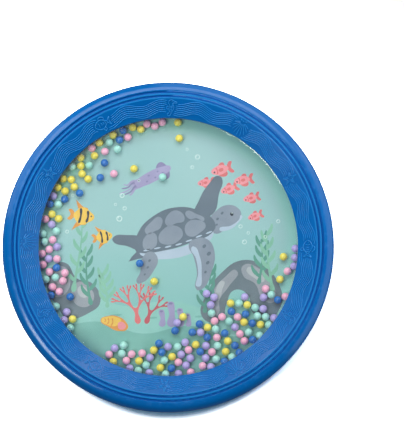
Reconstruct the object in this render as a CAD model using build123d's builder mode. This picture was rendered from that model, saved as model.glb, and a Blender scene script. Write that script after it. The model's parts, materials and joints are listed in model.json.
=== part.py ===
"""A toy ocean drum, built as it comes apart on a bench.

A clear skin and a printed skin are stretched over the two edges of one shell ring. Two moulded rims press the
skins' hoops towards each other and are drawn together by screws from the rear. Loose plastic beads are shut
in between the skins, and roll and hop there when the drum is tilted or shaken.

The drum lies on its rear rim. +Z points up through the clear skin, and the origin is the centre of the face
that it rests on. All sizes are in millimetres.
"""

import math
import os
import random

from build123d import *

# Rims, from the window outwards
WINDOW_DIAMETER = 196.0  # clear opening in both rims
BAND_WIDTH = 13.5  # sloping band round the window, seen from the front
SHOULDER_WIDTH = 6.5  # grooved shoulder between the band and the roll
ROLL_RADIUS = 7.0  # quarter round at the outside of each rim
WALL = 2.2  # moulded wall of both rims
FRONT_RECESS = 10.7  # from the clear skin up to the crest of the front rim
REAR_RECESS = 10.5  # from the resting face up to the printed skin
SHOULDER_DROP = 1.0  # fall of the front shoulder, from its crest to the band
GROOVE_RADIUS = 0.85  # two round grooves run along the front shoulder
GROOVE_INSET = 1.7  # from each end of the shoulder to the middle of its groove
GROOVE_EDGE_RADIUS = 0.25
BAND_EDGE_RADIUS = 0.5  # rounding of the band's two edges
LIP_OVERLAP = 2.0  # how far the window's lip reaches in over the chamber
LIP_EDGE = 1.2  # thickness of the lip at the window
LIP_GAP = 0.3  # free space between lip and skin
SEAM_CHAMFER = 0.4  # shadow line where the rims meet
TONGUE_HEIGHT = 2.0  # the rear rim's tongue, inside the front rim's wall
TONGUE_CLEARANCE = 0.1

# Skins, their hoops and the shell ring that they are stretched over
CHAMBER_DEPTH = 12.0  # from skin to skin
CLEAR_FILM = 0.3
PICTURE_FILM = 0.5
SHELL_WALL = 3.0
SHELL_EDGE_RADIUS = 0.9  # bearing edges of the shell ring
COLLAR_CLEARANCE = 0.1  # between the shell ring and a skin's turned-down collar
COLLAR_BEND = 0.8  # inside radius where a skin turns down
COLLAR_DEPTH = 4.0  # how far a collar reaches down the shell ring
GLUE_LINE = 0.05  # between a collar and its hoop
HOOP_WIDTH = 3.4
HOOP_HEIGHT = 3.0
HOOP_EDGE_RADIUS = 0.4
FLANGE_STEP_BACK = 0.5  # a rim's flange presses a hoop this far outside its bore
SEAT_CLEARANCE = 0.15  # between a hoop and the rim's seat round it
SEAT_DEPTH = 1.5
SEAT_WALL = 1.6

# Screws, with the wells and pillars of the rear rim and the bosses of the front rim
SCREW_COUNT = 8
SCREW_LENGTH = 16.0
SCREW_POINT_LENGTH = 3.0
SCREW_POINT_DIAMETER = 0.8
SCREW_CORE_DIAMETER = 2.4
SCREW_HEAD_DIAMETER = 5.5
SCREW_HEAD_HEIGHT = 2.0
SCREW_HEAD_ROUNDING = 0.7
CROSS_SLOT_LENGTH = 3.2
CROSS_SLOT_WIDTH = 0.8
CROSS_SLOT_DEPTH = 1.1
WELL_DEPTH = 9.0  # from the resting face to a screw head's seat
WELL_CLEARANCE = 0.4  # round a screw head
PILLAR_WALL = 1.6
PILLAR_WEB = 2.2  # floor of a well, clamped under the screw head
WEB_HOLE_CLEARANCE = 0.5
BOSS_RADIUS = 3.6
BOSS_GAP = 0.1  # between a boss and the pillar under it
PILOT_CLEARANCE = 0.05  # round a screw's core
PILOT_SPARE = 1.5  # past a screw's point
WALL_BITE = 0.5  # how far pillars and bosses run into the wall that carries them

# Beads
BEAD_DIAMETER = 6.0
BEAD_REST_GAP = 0.15  # above the printed skin
BEAD_SIDE_GAP = 0.3  # between beads, and to the shell ring
BEAD_SEED = 7  # start of the draw that scatters the beads
PLACES_TRIED = 9  # a bead takes the lowest of this many places

# Banks of beads along the wall: from and to in degrees anticlockwise from +X, and each bead's colour by initial
BEAD_BANKS = (
    (84, 112, "pypypbyp"),
    (112, 130, "yypmy"),
    (130, 152, "yyymy" * 2),
    (152, 180, "mlpbmy" * 2),
    (180, 204, "pmpbplp" * 2),
    (204, 222, "mlml"),
    (240, 262, "mylplpm" * 2),
    (262, 282, "pmlybl" * 3),
    (282, 304, "mlbpyb" * 4),
    (304, 327, "mmlbpy" * 4),
    (327, 338, "pbmlp"),
    (347, 363, "llpl"),
)

# Beads that lie by themselves: degrees, bead diameters in from the wall, colour by initial
LONE_BEADS = (
    (114.7, 0.87, "b"),
    (117.7, 1.90, "m"),
    (123.8, 1.33, "p"),
    (127.4, 2.52, "b"),
    (139.9, 2.60, "y"),
    (134.7, 3.62, "b"),
    (148.9, 1.78, "b"),
    (194.2, 2.05, "p"),
    (207.1, 2.13, "b"),
    (217.2, 0.80, "y"),
    (274.5, 5.42, "b"),
    (276.6, 4.33, "l"),
    (281.8, 4.73, "y"),
    (302.9, 5.45, "m"),
    (305.9, 6.45, "l"),
    (311.9, 6.45, "l"),
    (308.9, 7.18, "l"),
    (343.6, 1.37, "y"),
    (355.0, 1.45, "y"),
)

# Beads out on the picture, each a piece of its own: name, degrees, bead diameters in from the wall
ROVING_BEADS = (
    ("roving_bead_blue", 210.2, 11.87),
    ("roving_bead_yellow", 247.6, 11.33),
    ("roving_bead_mint", 95.1, 7.13),
    ("roving_bead_pink", 126.9, 4.37),
    ("roving_bead_yellow_upper", 114.0, 5.12),
    ("roving_bead_yellow_top", 84.6, 2.05),
)

COLOUR_NAMES = {"y": "yellow", "p": "pink", "m": "mint", "l": "lilac", "b": "blue"}

# Radii, worked out from the window outwards
WINDOW_RADIUS = WINDOW_DIAMETER / 2
CHAMBER_RADIUS = WINDOW_RADIUS + LIP_OVERLAP
SHELL_RADIUS = CHAMBER_RADIUS + SHELL_WALL
COLLAR_BORE = SHELL_RADIUS + COLLAR_CLEARANCE
BAND_RADIUS = WINDOW_RADIUS + BAND_WIDTH
CREST_RADIUS = BAND_RADIUS + SHOULDER_WIDTH
DRUM_RADIUS = CREST_RADIUS + ROLL_RADIUS
INNER_WALL_RADIUS = DRUM_RADIUS - WALL
INNER_ROLL_RADIUS = ROLL_RADIUS - WALL
TONGUE_RADIUS = DRUM_RADIUS - WALL / 2
SCREW_CIRCLE_RADIUS = BAND_RADIUS + SHOULDER_WIDTH / 2
WELL_RADIUS = SCREW_HEAD_DIAMETER / 2 + WELL_CLEARANCE
PILLAR_RADIUS = WELL_RADIUS + PILLAR_WALL
PILOT_RADIUS = SCREW_CORE_DIAMETER / 2 + PILOT_CLEARANCE
WEB_HOLE_RADIUS = SCREW_CORE_DIAMETER / 2 + WEB_HOLE_CLEARANCE

# Heights, worked out from the resting face upwards
CHAMBER_FLOOR = REAR_RECESS + PICTURE_FILM
CHAMBER_CEILING = CHAMBER_FLOOR + CHAMBER_DEPTH
CLEAR_SKIN_TOP = CHAMBER_CEILING + CLEAR_FILM
DRUM_HEIGHT = CLEAR_SKIN_TOP + FRONT_RECESS
SEAM_HEIGHT = (CHAMBER_FLOOR + CHAMBER_CEILING) / 2
SHOULDER_FOOT = DRUM_HEIGHT - SHOULDER_DROP
FRONT_LIP = CLEAR_SKIN_TOP + LIP_GAP
FRONT_EDGE = FRONT_LIP + LIP_EDGE
REAR_LIP = REAR_RECESS - LIP_GAP
REAR_EDGE = REAR_LIP - LIP_EDGE
FRONT_HOOP_FOOT = CHAMBER_CEILING - COLLAR_DEPTH
FRONT_HOOP_TOP = FRONT_HOOP_FOOT + HOOP_HEIGHT
REAR_HOOP_TOP = CHAMBER_FLOOR + COLLAR_DEPTH
REAR_HOOP_FOOT = REAR_HOOP_TOP - HOOP_HEIGHT
FRONT_ROLL_HEIGHT = DRUM_HEIGHT - ROLL_RADIUS
FRONT_CAVITY_TOP = SHOULDER_FOOT - WALL
PILLAR_TOP = WELL_DEPTH + PILLAR_WEB
BOSS_FOOT = PILLAR_TOP + BOSS_GAP
PILOT_TOP = WELL_DEPTH + SCREW_LENGTH + PILOT_SPARE

# Slopes of the two bands, and how far up a wall measured square to each of them reaches
FRONT_SLOPE = (SHOULDER_FOOT - FRONT_EDGE) / BAND_WIDTH
REAR_SLOPE = REAR_EDGE / BAND_WIDTH
FRONT_BAND_WALL = WALL * math.hypot(1, FRONT_SLOPE)
REAR_BAND_WALL = WALL * math.hypot(1, REAR_SLOPE)

# Bead places
BEAD_RADIUS = BEAD_DIAMETER / 2
BEAD_HEIGHT = CHAMBER_FLOOR + BEAD_REST_GAP + BEAD_RADIUS
BEAD_PITCH = BEAD_DIAMETER + BEAD_SIDE_GAP
BEAD_TRACK_RADIUS = CHAMBER_RADIUS - BEAD_SIDE_GAP - BEAD_RADIUS

CUT_PAST = 1.0  # how far a cutter runs past the face that it opens


def collar_radius(film):
    """Outside radius of a skin's turned-down collar."""
    return COLLAR_BORE + film


def hoop_bore(film):
    """Inside radius of the hoop that is glued round a skin's collar."""
    return collar_radius(film) + GLUE_LINE


def seat_radius(film):
    """Radius of the rim's seat round a hoop."""
    return hoop_bore(film) + HOOP_WIDTH + SEAT_CLEARANCE


def flange_radius(film):
    """Outside radius of the flange that carries the seat."""
    return seat_radius(film) + SEAT_WALL


def under_front_band(radius):
    """Height of the front band's inner face."""
    return FRONT_EDGE + (radius - WINDOW_RADIUS) * FRONT_SLOPE - FRONT_BAND_WALL


def over_rear_band(radius):
    """Height of the rear band's inner face."""
    return REAR_EDGE - (radius - WINDOW_RADIUS) * REAR_SLOPE + REAR_BAND_WALL


def shoulder_height(radius):
    """Height of the front shoulder before its grooves are cut."""
    return SHOULDER_FOOT + (radius - BAND_RADIUS) * SHOULDER_DROP / SHOULDER_WIDTH


def is_one_of(vertex, points):
    """Whether a corner of a section is one of the named points."""
    return any((Vector(vertex.X, vertex.Y) - point).length < 1e-6 for point in points)


def on_groove(vertex, grooves):
    """Whether a corner of the front rim's section is the edge of a groove."""
    return any(abs((Vector(vertex.X, vertex.Y) - g).length - GROOVE_RADIUS) < 1e-4 for g in grooves)


def save(part, name):
    """Names a finished piece and writes it."""
    part.label = name
    export_step(part, f"parts/{name}.step")


# Front rim: roll, grooved shoulder, sloping band, window lip, hoop flange and screw bosses
def make_front_rim():
    flange_in = hoop_bore(CLEAR_FILM) + FLANGE_STEP_BACK
    seat = seat_radius(CLEAR_FILM)
    flange_out = flange_radius(CLEAR_FILM)
    seat_foot = FRONT_HOOP_TOP - SEAT_DEPTH
    grooves = [
        Vector(radius, shoulder_height(radius))
        for radius in (BAND_RADIUS + GROOVE_INSET, CREST_RADIUS - GROOVE_INSET)
    ]
    band_edges = [Vector(WINDOW_RADIUS, FRONT_EDGE), Vector(BAND_RADIUS, SHOULDER_FOOT)]
    pocket_start = WINDOW_RADIUS + (FRONT_LIP + FRONT_BAND_WALL - FRONT_EDGE) / FRONT_SLOPE
    cavity_corner = BAND_RADIUS + (FRONT_BAND_WALL - WALL) / FRONT_SLOPE
    inner_arc = math.degrees(math.asin((FRONT_CAVITY_TOP - FRONT_ROLL_HEIGHT) / INNER_ROLL_RADIUS))

    with BuildPart() as front_rim:
        with BuildSketch(Plane.XZ) as outline:
            with BuildLine():
                roll = CenterArc((CREST_RADIUS, FRONT_ROLL_HEIGHT), ROLL_RADIUS, 0, 90)
                Polyline(
                    roll @ 1,
                    (BAND_RADIUS, SHOULDER_FOOT),
                    (WINDOW_RADIUS, FRONT_EDGE),
                    (WINDOW_RADIUS, FRONT_LIP),
                    (flange_in, FRONT_LIP),
                    (flange_in, FRONT_HOOP_TOP),
                    (seat, FRONT_HOOP_TOP),
                    (seat, seat_foot),
                    (flange_out, seat_foot),
                    (flange_out, SEAM_HEIGHT),
                    (DRUM_RADIUS - SEAM_CHAMFER, SEAM_HEIGHT),
                    (DRUM_RADIUS, SEAM_HEIGHT + SEAM_CHAMFER),
                    roll @ 0,
                )
            make_face()
            with Locations(*grooves):
                Circle(GROOVE_RADIUS, mode=Mode.SUBTRACT)
            fillet([v for v in outline.vertices() if is_one_of(v, band_edges)], BAND_EDGE_RADIUS)
            fillet([v for v in outline.vertices() if on_groove(v, grooves)], GROOVE_EDGE_RADIUS)
        revolve(axis=Axis.Z)

        with BuildSketch(Plane.XZ):
            with BuildLine():
                arc = CenterArc((CREST_RADIUS, FRONT_ROLL_HEIGHT), INNER_ROLL_RADIUS, 0, inner_arc)
                Polyline(
                    arc @ 1,
                    (cavity_corner, FRONT_CAVITY_TOP),
                    (flange_out, under_front_band(flange_out)),
                    (flange_out, SEAM_HEIGHT - CUT_PAST),
                    (INNER_WALL_RADIUS, SEAM_HEIGHT - CUT_PAST),
                    arc @ 0,
                )
            make_face()
            with BuildLine():
                Polyline(
                    (pocket_start, FRONT_LIP),
                    (flange_in, FRONT_LIP),
                    (flange_in, under_front_band(flange_in)),
                    close=True,
                )
            make_face()
        revolve(axis=Axis.Z, mode=Mode.SUBTRACT)

        with BuildSketch(Plane.XY.offset(SEAM_HEIGHT)):
            Circle(TONGUE_RADIUS + TONGUE_CLEARANCE)
            Circle(INNER_WALL_RADIUS - CUT_PAST, mode=Mode.SUBTRACT)
        extrude(amount=TONGUE_HEIGHT + TONGUE_CLEARANCE, mode=Mode.SUBTRACT)

        with BuildSketch(Plane.XY.offset(BOSS_FOOT)):
            with PolarLocations(SCREW_CIRCLE_RADIUS, SCREW_COUNT):
                Circle(BOSS_RADIUS)
        extrude(amount=FRONT_CAVITY_TOP + WALL_BITE - BOSS_FOOT)
        with BuildSketch(Plane.XY.offset(BOSS_FOOT - CUT_PAST)):
            with PolarLocations(SCREW_CIRCLE_RADIUS, SCREW_COUNT):
                Circle(PILOT_RADIUS)
        extrude(amount=PILOT_TOP - BOSS_FOOT + CUT_PAST, mode=Mode.SUBTRACT)
    return front_rim.part


# Rear rim: roll, flat resting face, funnel to the rear window, hoop flange, tongue, screw wells and pillars
def make_rear_rim():
    flange_in = hoop_bore(PICTURE_FILM) + FLANGE_STEP_BACK
    seat = seat_radius(PICTURE_FILM)
    flange_out = flange_radius(PICTURE_FILM)
    seat_top = REAR_HOOP_FOOT + SEAT_DEPTH
    band_edges = [Vector(WINDOW_RADIUS, REAR_EDGE), Vector(BAND_RADIUS, 0)]
    pocket_start = WINDOW_RADIUS + (REAR_EDGE + REAR_BAND_WALL - REAR_LIP) / REAR_SLOPE
    cavity_corner = BAND_RADIUS + (REAR_BAND_WALL - WALL) / REAR_SLOPE

    with BuildPart() as rear_rim:
        with BuildSketch(Plane.XZ) as outline:
            with BuildLine():
                roll = CenterArc((CREST_RADIUS, ROLL_RADIUS), ROLL_RADIUS, 270, 90)
                Polyline(
                    roll @ 0,
                    (BAND_RADIUS, 0),
                    (WINDOW_RADIUS, REAR_EDGE),
                    (WINDOW_RADIUS, REAR_LIP),
                    (flange_in, REAR_LIP),
                    (flange_in, REAR_HOOP_FOOT),
                    (seat, REAR_HOOP_FOOT),
                    (seat, seat_top),
                    (flange_out, seat_top),
                    (flange_out, SEAM_HEIGHT),
                    (DRUM_RADIUS - SEAM_CHAMFER, SEAM_HEIGHT),
                    (DRUM_RADIUS, SEAM_HEIGHT - SEAM_CHAMFER),
                    roll @ 1,
                )
            make_face()
            fillet([v for v in outline.vertices() if is_one_of(v, band_edges)], BAND_EDGE_RADIUS)
        revolve(axis=Axis.Z)

        with BuildSketch(Plane.XZ):
            with BuildLine():
                arc = CenterArc((CREST_RADIUS, ROLL_RADIUS), INNER_ROLL_RADIUS, 270, 90)
                Polyline(
                    arc @ 0,
                    (cavity_corner, WALL),
                    (flange_out, over_rear_band(flange_out)),
                    (flange_out, SEAM_HEIGHT + CUT_PAST),
                    (INNER_WALL_RADIUS, SEAM_HEIGHT + CUT_PAST),
                    arc @ 1,
                )
            make_face()
            with BuildLine():
                Polyline(
                    (pocket_start, REAR_LIP),
                    (flange_in, REAR_LIP),
                    (flange_in, over_rear_band(flange_in)),
                    close=True,
                )
            make_face()
        revolve(axis=Axis.Z, mode=Mode.SUBTRACT)

        with BuildSketch(Plane.XY.offset(SEAM_HEIGHT - WALL_BITE)):
            Circle(TONGUE_RADIUS)
            Circle(INNER_WALL_RADIUS, mode=Mode.SUBTRACT)
        extrude(amount=TONGUE_HEIGHT + WALL_BITE)

        with BuildSketch(Plane.XY.offset(WALL - WALL_BITE)):
            with PolarLocations(SCREW_CIRCLE_RADIUS, SCREW_COUNT):
                Circle(PILLAR_RADIUS)
        extrude(amount=PILLAR_TOP - WALL + WALL_BITE)
        with BuildSketch(Plane.XY.offset(-CUT_PAST)):
            with PolarLocations(SCREW_CIRCLE_RADIUS, SCREW_COUNT):
                Circle(WELL_RADIUS)
        extrude(amount=WELL_DEPTH + CUT_PAST, mode=Mode.SUBTRACT)
        with BuildSketch(Plane.XY.offset(WELL_DEPTH - CUT_PAST)):
            with PolarLocations(SCREW_CIRCLE_RADIUS, SCREW_COUNT):
                Circle(WEB_HOLE_RADIUS)
        extrude(amount=PILLAR_WEB + 2 * CUT_PAST, mode=Mode.SUBTRACT)
    return rear_rim.part


# Shell ring: the wall of the bead chamber, with rounded bearing edges under both skins
def make_shell_ring():
    with BuildPart() as shell_ring:
        with BuildSketch(Plane.XZ) as outline:
            with Locations((CHAMBER_RADIUS, CHAMBER_FLOOR)):
                Rectangle(SHELL_WALL, CHAMBER_DEPTH, align=(Align.MIN, Align.MIN))
            fillet(outline.vertices(), SHELL_EDGE_RADIUS)
        revolve(axis=Axis.Z)
    return shell_ring.part


# Skins: each a flat film with a collar turned down over the shell ring
def make_clear_skin():
    with BuildPart() as clear_skin:
        with BuildSketch(Plane.XZ) as outline:
            with BuildLine():
                Polyline(
                    (0, CHAMBER_CEILING),
                    (COLLAR_BORE, CHAMBER_CEILING),
                    (COLLAR_BORE, FRONT_HOOP_FOOT),
                    (collar_radius(CLEAR_FILM), FRONT_HOOP_FOOT),
                    (collar_radius(CLEAR_FILM), CLEAR_SKIN_TOP),
                    (0, CLEAR_SKIN_TOP),
                    close=True,
                )
            make_face()
            inside = [Vector(COLLAR_BORE, CHAMBER_CEILING)]
            outside = [Vector(collar_radius(CLEAR_FILM), CLEAR_SKIN_TOP)]
            fillet([v for v in outline.vertices() if is_one_of(v, inside)], COLLAR_BEND)
            fillet([v for v in outline.vertices() if is_one_of(v, outside)], COLLAR_BEND + CLEAR_FILM)
        revolve(axis=Axis.Z)
    return clear_skin.part


def make_picture_skin():
    with BuildPart() as picture_skin:
        with BuildSketch(Plane.XZ) as outline:
            with BuildLine():
                Polyline(
                    (0, CHAMBER_FLOOR),
                    (COLLAR_BORE, CHAMBER_FLOOR),
                    (COLLAR_BORE, REAR_HOOP_TOP),
                    (collar_radius(PICTURE_FILM), REAR_HOOP_TOP),
                    (collar_radius(PICTURE_FILM), REAR_RECESS),
                    (0, REAR_RECESS),
                    close=True,
                )
            make_face()
            inside = [Vector(COLLAR_BORE, CHAMBER_FLOOR)]
            outside = [Vector(collar_radius(PICTURE_FILM), REAR_RECESS)]
            fillet([v for v in outline.vertices() if is_one_of(v, inside)], COLLAR_BEND)
            fillet([v for v in outline.vertices() if is_one_of(v, outside)], COLLAR_BEND + PICTURE_FILM)
        revolve(axis=Axis.Z)
    return picture_skin.part


# Hoops: one ring glued round each collar
def make_hoop(film, foot):
    with BuildPart() as hoop:
        with BuildSketch(Plane.XZ) as outline:
            with Locations((hoop_bore(film), foot)):
                Rectangle(HOOP_WIDTH, HOOP_HEIGHT, align=(Align.MIN, Align.MIN))
            fillet(outline.vertices(), HOOP_EDGE_RADIUS)
        revolve(axis=Axis.Z)
    return hoop.part


# Screws: pan heads in the wells of the rear rim, cores up in the bosses of the front rim
def make_rim_screws():
    core = SCREW_CORE_DIAMETER / 2
    head = SCREW_HEAD_DIAMETER / 2
    head_foot = WELL_DEPTH - SCREW_HEAD_HEIGHT
    tip = WELL_DEPTH + SCREW_LENGTH
    with BuildPart() as screw:
        with BuildSketch(Plane.XZ) as outline:
            with BuildLine():
                Polyline(
                    (0, head_foot),
                    (head, head_foot),
                    (head, WELL_DEPTH),
                    (core, WELL_DEPTH),
                    (core, tip - SCREW_POINT_LENGTH),
                    (SCREW_POINT_DIAMETER / 2, tip),
                    (0, tip),
                    close=True,
                )
            make_face()
            rounded = [v for v in outline.vertices() if is_one_of(v, [Vector(head, head_foot)])]
            fillet(rounded, SCREW_HEAD_ROUNDING)
        revolve(axis=Axis.Z)
        with BuildSketch(Plane.XY.offset(head_foot)):
            Rectangle(CROSS_SLOT_LENGTH, CROSS_SLOT_WIDTH)
            Rectangle(CROSS_SLOT_WIDTH, CROSS_SLOT_LENGTH)
        extrude(amount=CROSS_SLOT_DEPTH, mode=Mode.SUBTRACT)
    with BuildPart() as rim_screws:
        with PolarLocations(SCREW_CIRCLE_RADIUS, SCREW_COUNT):
            add(screw.part)
    return rim_screws.part


# Beads: each one rolls out from the middle until it meets the wall or a bead that lies there already
def resting_radius(angle, lying, inset=0.0):
    """Radius where a bead comes to lie, the inset being its least distance from the wall in bead diameters."""
    reach = BEAD_TRACK_RADIUS - inset * BEAD_DIAMETER
    for other_radius, other_angle in lying:
        turn = math.radians(angle - other_angle)
        aside = other_radius * math.sin(turn)
        ahead = other_radius * math.cos(turn)
        if abs(aside) < BEAD_PITCH and ahead > 0:
            reach = min(reach, ahead - math.sqrt(BEAD_PITCH**2 - aside**2))
    return reach


def bank_beads():
    """Fills the banks along the wall, then adds the beads that lie by themselves."""
    draw = random.Random(BEAD_SEED)
    lying = []
    colours = []
    for start, end, bank in BEAD_BANKS:
        for colour in bank:
            angles = [draw.uniform(start, end) for _ in range(PLACES_TRIED)]
            best = max(angles, key=lambda angle: resting_radius(angle, lying))
            lying.append((resting_radius(best, lying), best))
            colours.append(colour)
    for angle, inset, colour in LONE_BEADS:
        lying.append((resting_radius(angle, lying, inset), angle))
        colours.append(colour)
    return lying, colours


def bead_place(radius, angle):
    return (
        radius * math.cos(math.radians(angle)),
        radius * math.sin(math.radians(angle)),
        BEAD_HEIGHT,
    )


def make_beads(places):
    with BuildPart() as beads:
        with Locations(*places):
            Sphere(BEAD_RADIUS)
    return beads.part


os.makedirs("parts", exist_ok=True)

save(make_front_rim(), "front_rim")
save(make_rear_rim(), "rear_rim")
save(make_shell_ring(), "shell_ring")
save(make_clear_skin(), "clear_skin")
save(make_hoop(CLEAR_FILM, FRONT_HOOP_FOOT), "clear_skin_hoop")
save(make_picture_skin(), "picture_skin")
save(make_hoop(PICTURE_FILM, REAR_HOOP_FOOT), "picture_skin_hoop")
save(make_rim_screws(), "rim_screws")

lying_beads, bead_colours = bank_beads()
for initial, colour_name in COLOUR_NAMES.items():
    places = [bead_place(*bead) for bead, colour in zip(lying_beads, bead_colours) if colour == initial]
    save(make_beads(places), f"beads_{colour_name}")
for bead_name, bead_angle, bead_inset in ROVING_BEADS:
    spot = (resting_radius(bead_angle, lying_beads, bead_inset), bead_angle)
    lying_beads.append(spot)
    save(make_beads([bead_place(*spot)]), bead_name)
print(len(lying_beads), "beads in a drum", 2 * DRUM_RADIUS, "across and", DRUM_HEIGHT, "high")
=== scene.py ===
# %% [markdown]
# # A toy ocean drum
#
# An ocean drum is a shallow frame drum with a clear skin in front, a printed skin behind it and loose
# beads shut in between, which run like surf when it is tilted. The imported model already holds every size
# and every moving part, as a fixed frame in metres that nothing here moves. This lesson only dresses it:
# plastic, film and print, the raised ornaments of the rim, and beads with the marks of their mould.

# %% Load the frame
import json
import math
import random

import bmesh
import bpy
import numpy as np
from mathutils import Matrix, Quaternion, Vector


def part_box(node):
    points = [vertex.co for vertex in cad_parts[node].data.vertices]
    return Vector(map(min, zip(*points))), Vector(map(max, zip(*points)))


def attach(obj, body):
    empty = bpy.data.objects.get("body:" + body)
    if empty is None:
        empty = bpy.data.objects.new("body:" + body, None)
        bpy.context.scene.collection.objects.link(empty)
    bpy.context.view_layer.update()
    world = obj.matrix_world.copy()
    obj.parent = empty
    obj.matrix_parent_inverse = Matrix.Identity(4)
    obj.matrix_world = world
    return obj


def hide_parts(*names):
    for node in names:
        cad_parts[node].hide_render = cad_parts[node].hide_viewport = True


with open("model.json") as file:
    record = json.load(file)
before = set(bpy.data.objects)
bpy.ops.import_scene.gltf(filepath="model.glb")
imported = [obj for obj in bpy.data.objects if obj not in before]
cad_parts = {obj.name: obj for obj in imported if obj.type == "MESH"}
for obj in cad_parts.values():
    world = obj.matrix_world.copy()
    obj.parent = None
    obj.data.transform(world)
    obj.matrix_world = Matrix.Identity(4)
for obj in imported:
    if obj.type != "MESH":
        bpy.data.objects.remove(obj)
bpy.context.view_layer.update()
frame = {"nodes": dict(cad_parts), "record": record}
nodes = frame["nodes"]
MM = 0.001

# %% [markdown]
# Everything later hangs on a few radii and heights. Typed in, they would leave the dressing behind when
# the model changes, so they are read from the frame: corners from the node boxes, faces by dropping a ray
# on them. The sloping band round the window carries the ornaments, so its slope is measured at two radii.
# The two grooves along the shoulder are the low points between the band and the roll.

# %% Measure the drum
SOUNDING_ANGLE = 0.2  # radians, clear of every screw
SLOPE_TOLERANCE = 0.2 * MM  # how far a face may leave the band's slope and still belong to it
SLOPE_STEP = 0.1 * MM
SHOULDER_STEP = 0.05 * MM
ROLL_INSET = 6 * MM  # the shoulder ends before this distance from the drum's outline


def polar(radius, angle):
    """The x and y of a place at that radius and angle."""
    return radius * np.cos(angle), radius * np.sin(angle)


def height_on(node, radius):
    """Height of a node's upper face at that radius."""
    start = Vector((*polar(radius, SOUNDING_ANGLE), 1.0))
    hit, place, _, _ = nodes[node].ray_cast(start, Vector((0, 0, -1)))
    return place.z if hit else 0.0


def least_radius(node):
    """Radius of the opening that a round node leaves free."""
    return min(math.hypot(v.co.x, v.co.y) for v in nodes[node].data.vertices)


DRUM_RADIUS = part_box("front_rim")[1].x
DRUM_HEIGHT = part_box("front_rim")[1].z
WINDOW_RADIUS = least_radius("front_rim")
CHAMBER_RADIUS = least_radius("shell_ring")
PICTURE_HEIGHT = height_on("picture_skin", WINDOW_RADIUS / 2)

LOWER_SOUNDING = WINDOW_RADIUS + 3 * MM
UPPER_SOUNDING = WINDOW_RADIUS + 10 * MM
BAND_FOOT = height_on("front_rim", LOWER_SOUNDING)
BAND_TOP = height_on("front_rim", UPPER_SOUNDING)
BAND_RISE = (BAND_TOP - BAND_FOOT) / (UPPER_SOUNDING - LOWER_SOUNDING)
BAND_TILT = math.atan(BAND_RISE)


def band_height(radius):
    """Height of the sloping band, as if it ran on for ever."""
    return BAND_FOOT + (radius - LOWER_SOUNDING) * BAND_RISE


BAND_RADIUS = UPPER_SOUNDING
while abs(height_on("front_rim", BAND_RADIUS) - band_height(BAND_RADIUS)) < SLOPE_TOLERANCE:
    BAND_RADIUS += SLOPE_STEP
BAND_MIDDLE = (WINDOW_RADIUS + BAND_RADIUS) / 2

shoulder = np.arange(BAND_RADIUS, DRUM_RADIUS - ROLL_INSET, SHOULDER_STEP)
heights = [height_on("front_rim", radius) for radius in shoulder]
steps = zip(shoulder[1:], heights, heights[1:], heights[2:])
GROOVES = [radius for radius, before, here, after in steps if here < before and here <= after]
RIDGES = [BAND_RADIUS, sum(GROOVES) / len(GROOVES)]
print(f"window {WINDOW_RADIUS:.4f}, band to {BAND_RADIUS:.4f}, tilt {BAND_TILT:.3f}")
print("grooves at", [f"{radius:.4f}" for radius in GROOVES])

# %% [markdown]
# Materials are graphs of nodes, which are hard to read when they are written node by node. So one class
# wraps a socket and lets Python's own operators add the Math nodes: `1 - mask * 0.5` is then two nodes.
# Every other node comes from one method that takes its kind, what feeds it and its settings.

# %% Sockets as expressions
WHITE = (1.0, 1.0, 1.0, 1.0)


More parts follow.
